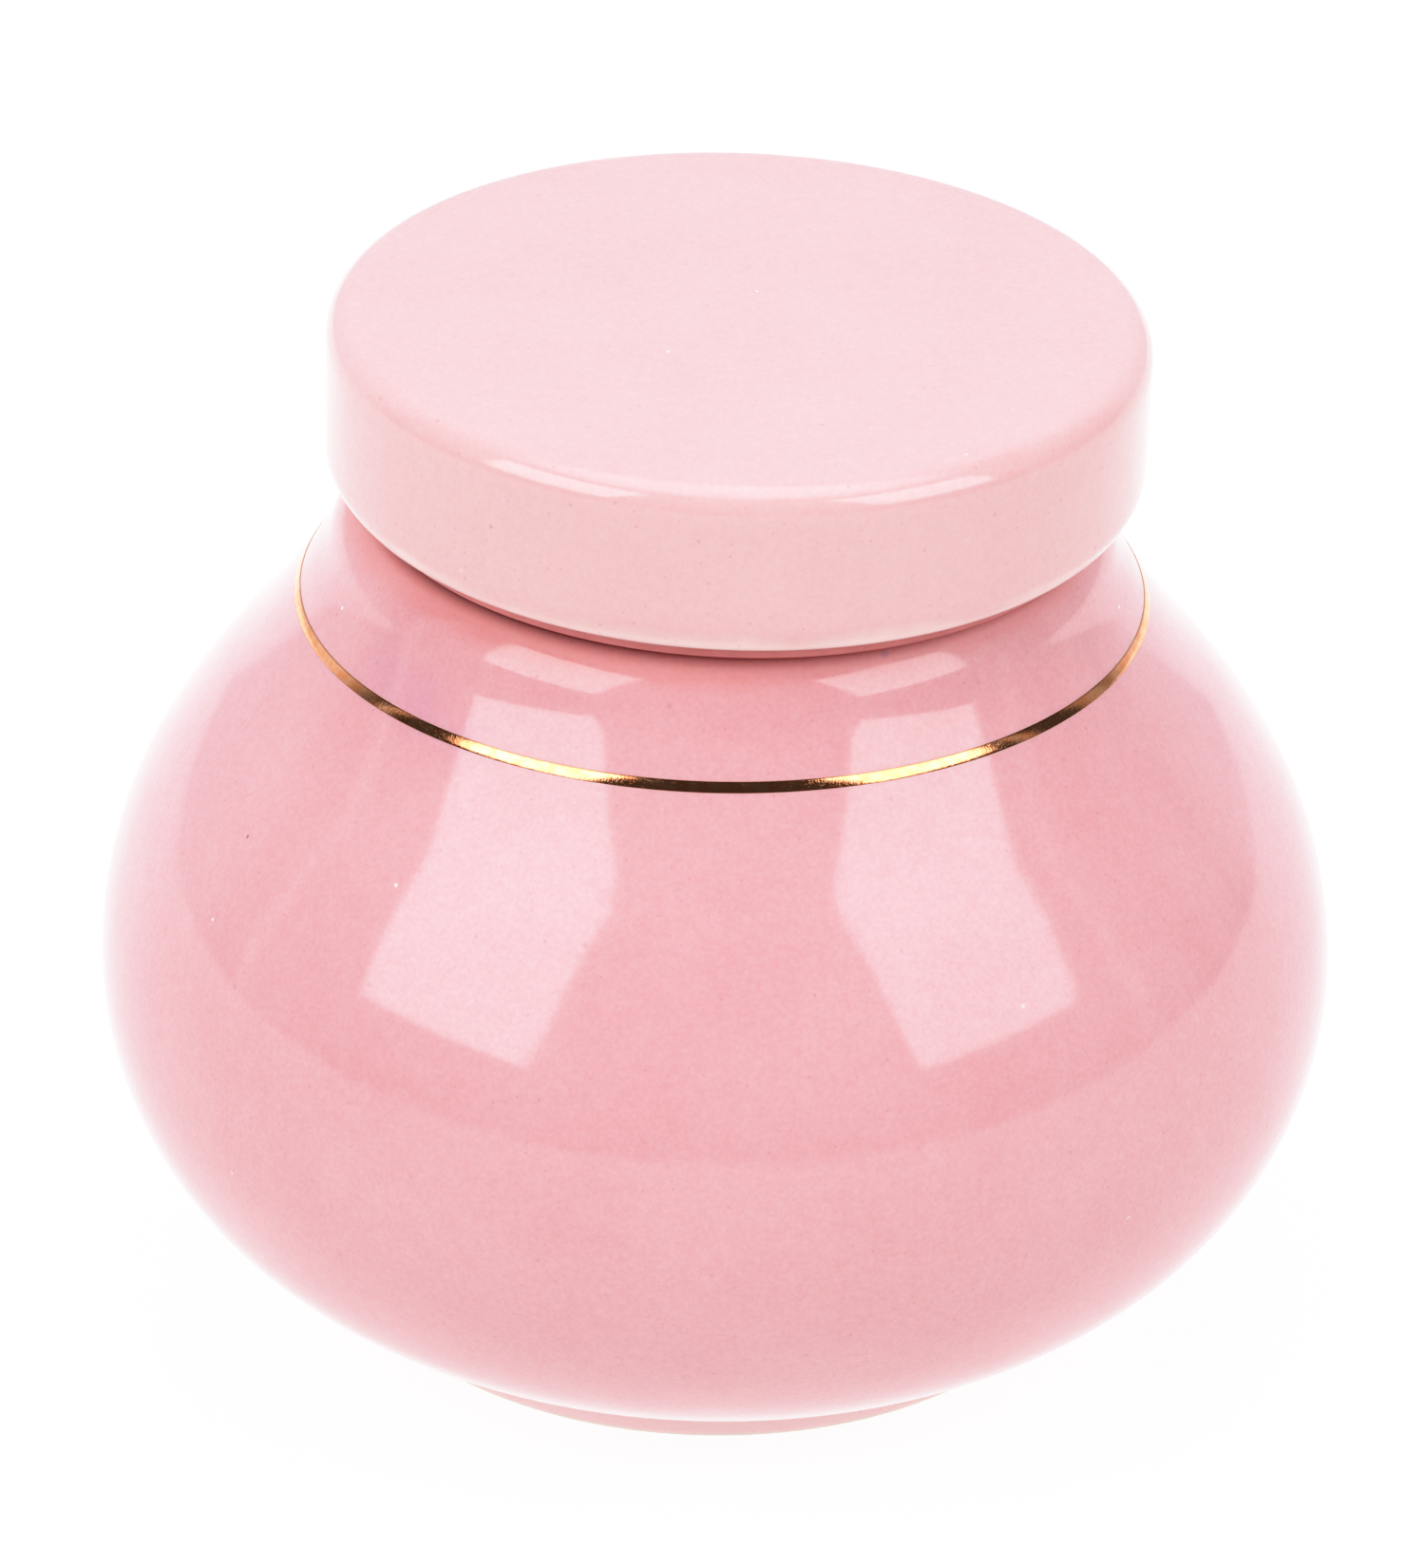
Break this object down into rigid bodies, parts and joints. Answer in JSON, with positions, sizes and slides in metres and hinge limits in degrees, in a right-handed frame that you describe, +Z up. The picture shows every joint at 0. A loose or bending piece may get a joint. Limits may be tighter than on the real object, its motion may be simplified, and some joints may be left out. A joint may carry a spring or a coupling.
{
  "type": "powder jar",
  "caption": "Round-bellied glazed ceramic powder jar with a foot ring, a flared neck with a fine gold line, and a flat disc lid that lifts off on a soft seal.",
  "frame": {"origin": "centre of the foot ring, on the surface that the jar stands on", "axes": "+Z up along the jar's own axis; +X is the side towards which the lid leans; -Y is the front"},
  "size_m": [0.1, 0.1, 0.0857],
  "materials": {
    "pink_glaze": "clear gloss glaze over mottled pink",
    "gold_lustre": "fired bright gold",
    "lid_glaze": "clear gloss glaze over pale pink",
    "silicone": "dusty red, satin"
  },
  "bodies": {
    "jar": {"jar_body": "pink_glaze", "gold_band": "gold_lustre"},
    "seal": {"seal_ring": "silicone"},
    "lid": {"lid": "lid_glaze"}
  },
  "joints": [
    {"name": "lid_lift", "type": "slide", "parent": "jar", "child": "seal", "axis": [0, 0, 1], "range_m": [0, 0.05]},
    {"name": "lid_turn", "type": "hinge", "parent": "seal", "child": "lid", "pos_m": [0.0008, 0, 0.07094], "axis": [0.0157, 0, 0.9999], "continuous": true}
  ]
}
